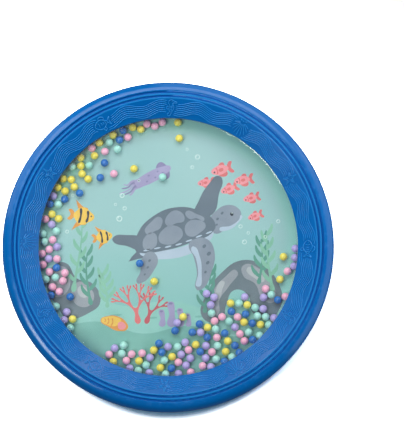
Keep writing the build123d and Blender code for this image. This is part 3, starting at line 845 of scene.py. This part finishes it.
class Motif:
    """A printed figure: shapes of ink about its own middle, turned and set in the picture."""

    def __init__(self, name, lowest, at=(0.0, 0.0), turn=0.0, size=1.0):
        self.name = name
        self.lowest = lowest
        self.shapes = bmesh.new()
        self.inks = []
        shift = Matrix.Translation((at[0] * MM, at[1] * MM, 0.0))
        scale = Matrix.Diagonal((size * MM, size * MM, 1.0, 1.0))
        self.place = shift @ Matrix.Rotation(math.radians(turn), 4, "Z") @ scale

    def add(self, ink_name, layer, *outlines):
        mesh = cut_slab(outlines)
        mesh.transform(self.place)
        foot = PICTURE_HEIGHT - INK_FOOT
        top = PICTURE_HEIGHT + INK_TOP + (self.lowest + layer) * INK_STEP
        for vertex in mesh.vertices:
            vertex.co.z = top if vertex.co.z > 0 else foot
        if ink_name not in self.inks:
            self.inks.append(ink_name)
        before = len(self.shapes.faces)
        self.shapes.from_mesh(mesh)
        self.shapes.faces.ensure_lookup_table()
        for face in self.shapes.faces[before:]:
            face.material_index = self.inks.index(ink_name)
        bpy.data.meshes.remove(mesh)

    def finish(self):
        bmesh.ops.remove_doubles(self.shapes, verts=self.shapes.verts, dist=WELD)
        bmesh.ops.recalc_face_normals(self.shapes, faces=self.shapes.faces)
        mesh = bpy.data.meshes.new(self.name)
        self.shapes.to_mesh(mesh)
        self.shapes.free()
        for ink_name in self.inks:
            mesh.materials.append(INKS[ink_name])
        add_piece(self.name, mesh, "drum")


def oval(x, y, width, height, turn=0.0):
    """An ellipse as an outline."""
    u, v = polar(0.5, np.arange(OVAL_KNOTS) * 2 * math.pi / OVAL_KNOTS)
    u, v = u * width, v * height
    c, s = polar(1.0, math.radians(turn))
    return list(zip(x + u * c - v * s, y + u * s + v * c))


def frond(spine, widths):
    """The outline of a blade or a branch that runs along a spine and has those widths on it."""
    spine = [np.array(knot, float) for knot in knots_of(spine)]
    left, right = [], []
    for k, (point, width) in enumerate(zip(spine, widths)):
        ahead = spine[min(k + 1, len(spine) - 1)] - spine[max(k - 1, 0)]
        side = np.array([-ahead[1], ahead[0]]) / np.hypot(*ahead) * width / 2
        left.append(tuple(point + side))
        right.append(tuple(point - side))
    return left + right[::-1]


# %% [markdown]
# The sea bed fills the bottom of the picture. Its skyline is drawn from shore to shore, and the
# rest of the outline follows the round wall of the chamber. Boulders, kelp and corals stand on it.

# %% Sea bed
SHORE_RADIUS = CHAMBER_RADIUS / MM - 0.5
SHORE_KNOTS = 14


def to_shore(left_y, skyline, right_y):
    """Closes a skyline along the lower wall of the chamber."""
    start = math.pi - math.asin(left_y / SHORE_RADIUS)
    end = 2 * math.pi + math.asin(right_y / SHORE_RADIUS)
    arc = [polar(SHORE_RADIUS, turn) for turn in np.linspace(start, end, SHORE_KNOTS)]
    return [arc[0] + (0,)] + arc[1:-1] + [arc[-1] + (0,)] + knots_of(skyline)[::-1]


sea_bed = Motif("print_sea_bed", 0)
sea_bed.add("dune", 0, to_shore(-40, "-62,-36 -34,-45 0,-41 34,-47 66,-38", -42))
sea_bed.add("dune_near", 1, to_shore(-60, "-52,-57 -20,-66 16,-60 50,-68", -58))
for x, y, wide in ((-40, -52, 9), (-12, -54, 7), (24, -53, 8), (6, -49, 5), (58, -52, 8)):
    sea_bed.add("dune_near", 1, oval(x, y, wide, 1.5, 4))
sea_bed.finish()

rocks = Motif("print_rocks", 2)
rocks.add("rock_dark", 0, "-93,-30 -88,-14 -79,-12 -70,-24 -58,-28 -52,-42 -60,-50 -78,-54 -84,-46")
rocks.add("rock", 1, "-91,-30 -87,-17 -80,-15 -75,-25 -79,-36 -86,-38")
rocks.add("rock", 1, "-70,-27 -60,-31 -57,-40 -64,-46 -73,-40")
rocks.add("rock_pale", 2, "-87,-20 -82,-18 -79,-25 -84,-28")
rocks.add("rock_pale", 2, "-68,-30 -62,-33 -62,-38 -68,-37")
arch = "26,-54 30,-34 40,-20 56,-10 72,-14 84,-28 86,-44 74,-56 64,-50 60,-36 50,-33 44,-44 40,-56"
rocks.add("rock_dark", 0, arch)
rocks.add("rock", 1, "31,-50 34,-34 43,-23 52,-18 46,-30 39,-40 37,-52")
rocks.add("rock", 1, "57,-14 70,-17 80,-29 80,-42 72,-40 66,-28 57,-22")
rocks.add("rock_pale", 2, "60,-16 68,-19 73,-26 66,-24")
rocks.add("rock_pale", 2, "36,-33 42,-26 41,-32 37,-40")
rocks.finish()

# %% [markdown]
# Kelp sways, so each strand follows a sine as it rises, thins out towards its tip, and carries leaves
# left and right in turn. The corals branch: every branch forks into two shorter ones until the twigs are
# small, and each fork opens less than the one before it, so that no two twigs cross.

# %% Kelp and corals
STEM_WIDTHS = (2.0, 1.9, 1.7, 1.5, 1.2, 0.9, 0.4)
LEAF_WIDTHS = (0.9, 2.8, 2.4, 0.4)


def kelp_strand(motif, x, y, height, sway, ink_name, layer):
    def at(t):
        return x + sway * math.sin(2.6 * t + x), y + height * t

    motif.add(ink_name, layer, frond([at(t) for t in np.linspace(0, 1, len(STEM_WIDTHS))], STEM_WIDTHS))
    for k, t in enumerate(np.linspace(0.16, 0.94, 8)):
        foot = np.array(at(t))
        out = (1 if k % 2 else -1) * (1 - 0.45 * t)
        leaf = [foot, foot + (2.8 * out, 2.2), foot + (5.6 * out, 5.4), foot + (6.8 * out, 9.0)]
        motif.add(ink_name, layer + 1, frond(leaf, LEAF_WIDTHS))


kelp = Motif("print_kelp", 5)
for strand in (
    (-60, -44, 40, 3.0, "kelp_dark", 0), (-70, -34, 52, 3.4, "kelp", 2), (-49, -46, 26, 2.4, "kelp", 4),
    (30, -50, 30, 2.4, "kelp_dark", 0), (78, -34, 46, 2.8, "kelp", 4), (69, -28, 34, 2.6, "kelp_dark", 2),
):
    kelp_strand(kelp, *strand)
kelp.finish()


def branches(foot, angle, spread, length, width, forks):
    """Outline of a branch and of all that forks from it, from its left side round to its right."""
    foot = np.array(foot, float)
    ahead = np.array(polar(1.0, math.radians(angle)))
    left = np.array((-ahead[1], ahead[0])) * width / 2
    tip = foot + ahead * length
    if not forks:
        blunt = (foot + left, tip + left, tip + ahead * width * 0.5, tip - left, foot - left)
        return [tuple(knot) for knot in blunt]
    smaller = (spread * 0.80, length * 0.80, width * 0.78, forks - 1)
    first = branches(tip + left * 0.3, angle + spread, *smaller)
    second = branches(tip - left * 0.3, angle - spread, *smaller)
    crotch = tip + ahead * width * 0.9
    return [tuple(foot + left)] + first[:-1] + [tuple(crotch)] + second[1:] + [tuple(foot - left)]


corals = Motif("print_corals", 5)
corals.add("coral_dark", 0, branches((-17, -58), 70, 28, 8.0, 2.6, 3))
corals.add("coral", 1, branches((-23, -58), 100, 30, 9.0, 3.0, 4))
for x, tall, wide in ((2, 17, 5.0), (9, 12, 4.4), (-5, 11, 4.0), (15, 8, 3.6)):
    stalk = [(x, -60), (x + 0.6, -60 + tall * 0.5), (x - 0.4, -60 + tall), (x - 0.4, -59 + tall)]
    corals.add("violet", 2, frond(stalk, [wide, wide * 0.86, wide, wide * 0.7]))
    corals.add("violet_dark", 3, oval(x - 0.4, -60.2 + tall, wide * 0.62, wide * 0.34))
corals.finish()

# %% [markdown]
# A sea turtle is the largest figure, in slate tones with a pale underside. It is built up from the back,
# layer by layer: far flippers and tail, head, belly, shell, plates and near flippers.

# %% Turtle
turtle = Motif("print_turtle", 6, at=(6, 8), turn=16, size=0.92)
turtle.add("slate_dark", 2, "20,12 27,25 39,36 47,40 50,37 44,25 34,10")
turtle.add("slate_dark", 2, "-28,6 -40,13 -51,14 -52,11 -42,4 -30,-2")
turtle.add("slate_dark", 2, "-32,-3 -39,-5 -44,-9,0 -37,-9 -30,-8")
turtle.add("slate", 3, "29,4 38,12 48,14 56,9 57,3 52,-2 42,-5 31,-6")
turtle.add("slate_pale", 4, "36,-4 46,-3.5 54,-0.5 57,2.5 52,-3.2 42,-6.5")
turtle.add("slate_pale", 4, "-33,-4 -14,-8 8,-9 30,-3 24,-12 6,-17 -16,-15 -28,-10")
turtle.add("slate_dark", 5, "-36,-2 -30,12 -14,22 6,24 24,16 34,3 32,-3 10,-8 -16,-8 -32,-5")
for plate in (
    "-15,1 -9,9 1,9.5 6,2 0,-4 -10,-4",
    "8,2 12,9 20,9 26,3 20,-2 11,-3",
    "-29,1 -24,8 -17,8 -16.5,1 -20,-3.5 -28,-3",
    "-5.4,11.6 -1.6,20 7.6,20.4 10,11.6 3,11",
    "-24,10 -16.6,18 -8.4,19.4 -10.4,11.4 -16,9.5",
    "14.4,11.4 13.2,18 21,14 26,7 20,10.5",
):
    turtle.add("slate", 6, plate)
for k in range(-3, 4):
    turtle.add("slate_pale", 6, oval(9 * k, -5.3 - 1.3 * math.cos(k), 5.6, 1.3, 2 * k))
turtle.add("slate", 6, "14,-6 24,-9 27,-20 20,-36 8,-48 4,-47 8,-34 9,-20 8,-9")
turtle.add("slate_pale", 7, "9.5,-12 10.5,-22 9,-34 5.5,-45 12,-34 14,-20 12,-12")
turtle.add("slate", 6, "-24,-6 -20,-13 -26,-22 -38,-29 -42,-28 -37,-20 -32,-9")
for x, y, wide in (
    (20, -14, 3.6), (22, -21, 4.0), (19, -28, 3.4), (15, -35, 2.6), (-27, -13, 2.6),
    (-30, -18, 2.4), (-34, -23, 2.0), (37, 5, 2.6), (42, 8.6, 2.8), (35, 0.5, 2.2),
):
    turtle.add("slate_dark", 7, oval(x, y, wide, wide * 0.72, 30))
turtle.add("night", 7, oval(49.5, 5.6, 2.7, 3.1))
turtle.add("foam", 8, oval(50.0, 6.4, 0.9, 0.9))
turtle.finish()

# %% [markdown]
# Small fish fill the water round it: a rose shoal, two banded angelfish and a squid. One function draws a
# fish of any length, so the shoal is a loop over places and headings.

# %% Shoal, angelfish and squid
SHOAL = (  # place, heading and length
    (40, 60, 196, 17), (57, 52, 190, 15), (46, 45, 202, 14),
    (63, 38, 194, 13), (28, 50, 188, 13), (66, 24, 200, 12),
)


def shoal_fish(name, at, turn, length):
    swimmer = Motif(name, 1, at, turn, length / 20)
    swimmer.add("coral", 1, "-6,0 -11,5.4 -9.4,0 -11,-5.2")
    swimmer.add("coral", 1, "3,3 -1,7 -5,5.4 -4,2")
    swimmer.add("coral", 1, "1,-3 -2,-6.4 -4.4,-4.6 -3,-2")
    swimmer.add("rose", 2, "9,0 5,3.6 -1,4.2 -7,0.8 -7,-0.8 -1,-4 5,-3.4")
    swimmer.add("coral", 3, "2.2,0.4 -1.2,1.6 -2.4,-0.4 -0.4,-1.4")
    swimmer.add("coral", 3, frond("4,3.2 3.2,0 4,-2.8", [0.5, 0.8, 0.5]))
    swimmer.add("night", 3, oval(6.2, 0.9, 1.5, 1.6))
    swimmer.finish()


for k, (x, y, heading, length) in enumerate(SHOAL):
    shoal_fish(f"print_shoal_fish_{k + 1}", (x, y), heading, length)


def angelfish(name, at, turn, size):
    swimmer = Motif(name, 11, at, turn, size)
    swimmer.add("orange", 1, "-3,5 -9,15,0 -1,9 4,7")
    swimmer.add("orange", 1, "-3,-5 -9,-15,0 -1,-9 4,-7")
    swimmer.add("orange", 1, "-8,0 -14,5 -12,0 -14,-5")
    swimmer.add("yellow", 2, "11,0 6,5.4 -1,8.4 -7,4 -9,0 -7,-4 -1,-8.4 6,-5.4")
    for x, tall in ((4.6, 11.4), (-2.4, 14.6)):
        band = [(x - 0.5, tall / 2), (x + 0.4, 0), (x - 0.5, -tall / 2)]
        swimmer.add("night", 3, frond(band, [1.0, 1.7, 1.0]))
    swimmer.add("night", 3, oval(8.0, 0.8, 1.5, 1.5))
    swimmer.finish()


angelfish("print_angelfish_1", (-66, 24), -8, 0.80)
angelfish("print_angelfish_2", (-50, 8), 10, 0.62)

squid = Motif("print_squid", 0, at=(-18, 52), turn=28, size=0.95)
for k, side in enumerate((-3.0, -1.6, 0.0, 1.6, 3.0)):
    reach = 17 - 2.2 * abs(side)
    arm = [(-7, side * 0.7), (-11, side * 1.1 + 0.8), (-15, side * 1.3 - 0.8), (-7 - reach, side * 1.7)]
    squid.add("violet_dark" if k % 2 else "violet", 2 + k % 2, frond(arm, [1.9, 1.6, 1.3, 0.4]))
squid.add("violet_dark", 2, "11,3 17,7.5 21,2,0 21,-2,0 17,-7.5 11,-3")
squid.add("violet", 4, "23,0 16,3.6 4,4.6 -5,3.8 -8,3.4 -9,0 -8,-3.4 -5,-3.8 4,-4.6 16,-3.6")
for x, y in ((12, 1.6), (8, -1.9), (4, 1.9), (15, -1.2), (0.5, -1.6)):
    squid.add("violet_dark", 5, oval(x, y, 1.7, 1.2))
squid.add("foam", 5, oval(-5.0, 2.0, 2.0, 2.0))
squid.add("night", 6, oval(-5.0, 2.0, 1.2, 1.2))
squid.finish()

# %% [markdown]
# A conch lies on the sand and bubbles rise beside the kelp. A bubble is a ring, so its outline has a
# second one inside it, and a small glint.

# %% Conch and bubbles
conch = Motif("print_conch", 2, at=(-42, -58), turn=-14, size=0.9)
conch.add("orange", 3, "-11,0 -6,4.6 2,6.4 10,3.6 13,-1.4 6,-5.4 -3,-4")
conch.add("yellow", 4, "-10.4,0.2 -6,4 1,5.6 6,3.4 3,-1.6 -4,-2.6")
for x, tall in ((-7.4, 4.0), (-4.6, 6.0), (-1.2, 7.6)):
    whorl = [(x - 0.8, tall / 2), (x + 0.6, 0.6), (x, -tall / 2 + 1.0)]
    conch.add("orange", 5, frond(whorl, [0.5, 0.9, 0.5]))
conch.add("rose", 5, "4.6,2 9.6,1.8 11,-1.4 6.4,-3.8 4.4,-1.6")
conch.finish()

bubbles = Motif("print_bubbles", 14)
for x, y, wide in (
    (-38, 22, 4.4), (-34, 30, 3.0), (-41, 33, 2.2), (-36, 40, 3.6), (58, 4, 3.6), (61, 11, 2.4),
    (55, 16, 3.0), (74, 8, 2.6), (18, 62, 2.8), (22, 70, 3.8), (14, 76, 2.2), (-78, 12, 2.8),
    (-74, 40, 2.4), (84, 20, 3.0),
):
    bubbles.add("foam", 1, oval(x, y, wide, wide), oval(x, y, wide * 0.74, wide * 0.74))
    bubbles.add("foam", 1, oval(x - wide * 0.16, y + wide * 0.16, wide * 0.2, wide * 0.2))
bubbles.finish()

# %% [markdown]
# The beads are small injection mouldings. Two things tell them from plain balls: a hair of flash where
# the halves of the mould met, and the flat scar where the gate was cut off. One bead is worked out as
# points and faces, then set at every place where the frame has one, turned at random and with its own
# small shift of tone. The places are the top points of the frame's beads, and each node stays one piece
# on its own body.

# %% Beads
BEAD_SEGMENTS = 30
BEAD_RINGS = 20
FLASH_HEIGHT = 0.012  # of the bead's radius
FLASH_WIDTH = 0.05  # radians
GATE_FLAT = 0.975  # where the scar cuts the ball, of its radius
TURN_SEED = 5
TOP_TOLERANCE = 0.002 * MM
BEAD_TONES = {  # each colour's tone, its deeper one, and the roughness
    "yellow": ((252, 240, 108), (242, 224, 86), 0.26),
    "pink": ((255, 194, 220), (255, 180, 210), 0.26),
    "mint": ((182, 242, 230), (162, 230, 216), 0.26),
    "lilac": ((198, 184, 240), (180, 166, 228), 0.26),
    "blue": ((44, 126, 206), (32, 108, 192), 0.18),
}

bead_low, bead_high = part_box("roving_bead_blue")
BEAD_RADIUS = (bead_high.z - bead_low.z) / 2


def bead_template():
    """Points and faces of one bead about the origin."""
    equator = math.pi / 2
    tilts = list(np.linspace(0, math.pi, BEAD_RINGS + 1)[1:-1])
    tilts = sorted(tilts + [equator - FLASH_WIDTH, equator + FLASH_WIDTH])
    points = [(0, 0, 1 - FLASH_HEIGHT)]
    for tilt in tilts:
        flash = math.exp(-((tilt - equator) / FLASH_WIDTH * 2) ** 2)
        reach = 1 - FLASH_HEIGHT + FLASH_HEIGHT * flash
        up, out = polar(reach, tilt)
        for k in range(BEAD_SEGMENTS):
            x, y = polar(out, 2 * math.pi * k / BEAD_SEGMENTS)
            points.append((min(x, GATE_FLAT), y, up))
    points.append((0, 0, FLASH_HEIGHT - 1))
    last = len(points) - 1
    faces = sew(1, len(tilts), BEAD_SEGMENTS)
    for k in range(BEAD_SEGMENTS):
        n = (k + 1) % BEAD_SEGMENTS
        faces.append((0, 1 + k, 1 + n))
        faces.append((last, last - BEAD_SEGMENTS + n, last - BEAD_SEGMENTS + k))
    return np.array(points) * BEAD_RADIUS, faces


def bead_middles(node):
    """Middles of all the beads in a node, found by their top points."""
    points = np.array([v.co for v in nodes[node].data.vertices])
    tops = points[points[:, 2] > points[:, 2].max() - TOP_TOLERANCE]
    spots = {(round(x, 5), round(y, 5)) for x, y, _ in tops.tolist()}
    return sorted(spots), points[:, 2].max() - BEAD_RADIUS


def bead_plastic(name, colour, deep, roughness):
    place = start_material("bead_" + name)
    tint = place.node("Attribute", None, {"attribute_name": "tint"}, out="Fac")
    mottle = place.noise(420.0)
    tone = (tint * 0.6 + mottle * 0.4).blend(colour, deep)
    grain = place.noise(2400.0, 1.0).bump(0.08, 0.05 * MM)
    return close_principled(tone, roughness + mottle * 0.08, grain)


template, template_faces = bead_template()
draw = random.Random(TURN_SEED)


def set_beads(node, body, colour):
    spots, height = bead_middles(node)
    points, faces, tints = [], [], []
    for x, y in spots:
        turn = Quaternion([draw.gauss(0, 1) for _ in range(4)]).normalized().to_matrix()
        first = len(points)
        points.extend(template @ np.array(turn).T + np.array((x, y, height)))
        faces.extend(tuple(first + k for k in face) for face in template_faces)
        tints.extend([draw.random()] * len(template))
    piece = add_smooth("moulded_" + node, points, faces, finishes[colour], body, "bead_" + colour)
    tint = piece.data.attributes.new("tint", "FLOAT", "POINT")
    tint.data.foreach_set("value", tints)
    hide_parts(node)
    print(node, "has", len(spots), "beads")


finishes = {}
for colour, (tone, deep, roughness) in BEAD_TONES.items():
    finishes[colour] = bead_plastic(colour, srgb(*tone), srgb(*deep), roughness)
body_of_node = {}
for body, members in frame["record"]["behaviour"]["bodies"].items():
    body_of_node.update(dict.fromkeys(members, body))
for node in sorted(body_of_node):
    for colour in finishes:
        if node.startswith(("beads_" + colour, "roving_bead_" + colour)):
            set_beads(node, body_of_node[node], colour)
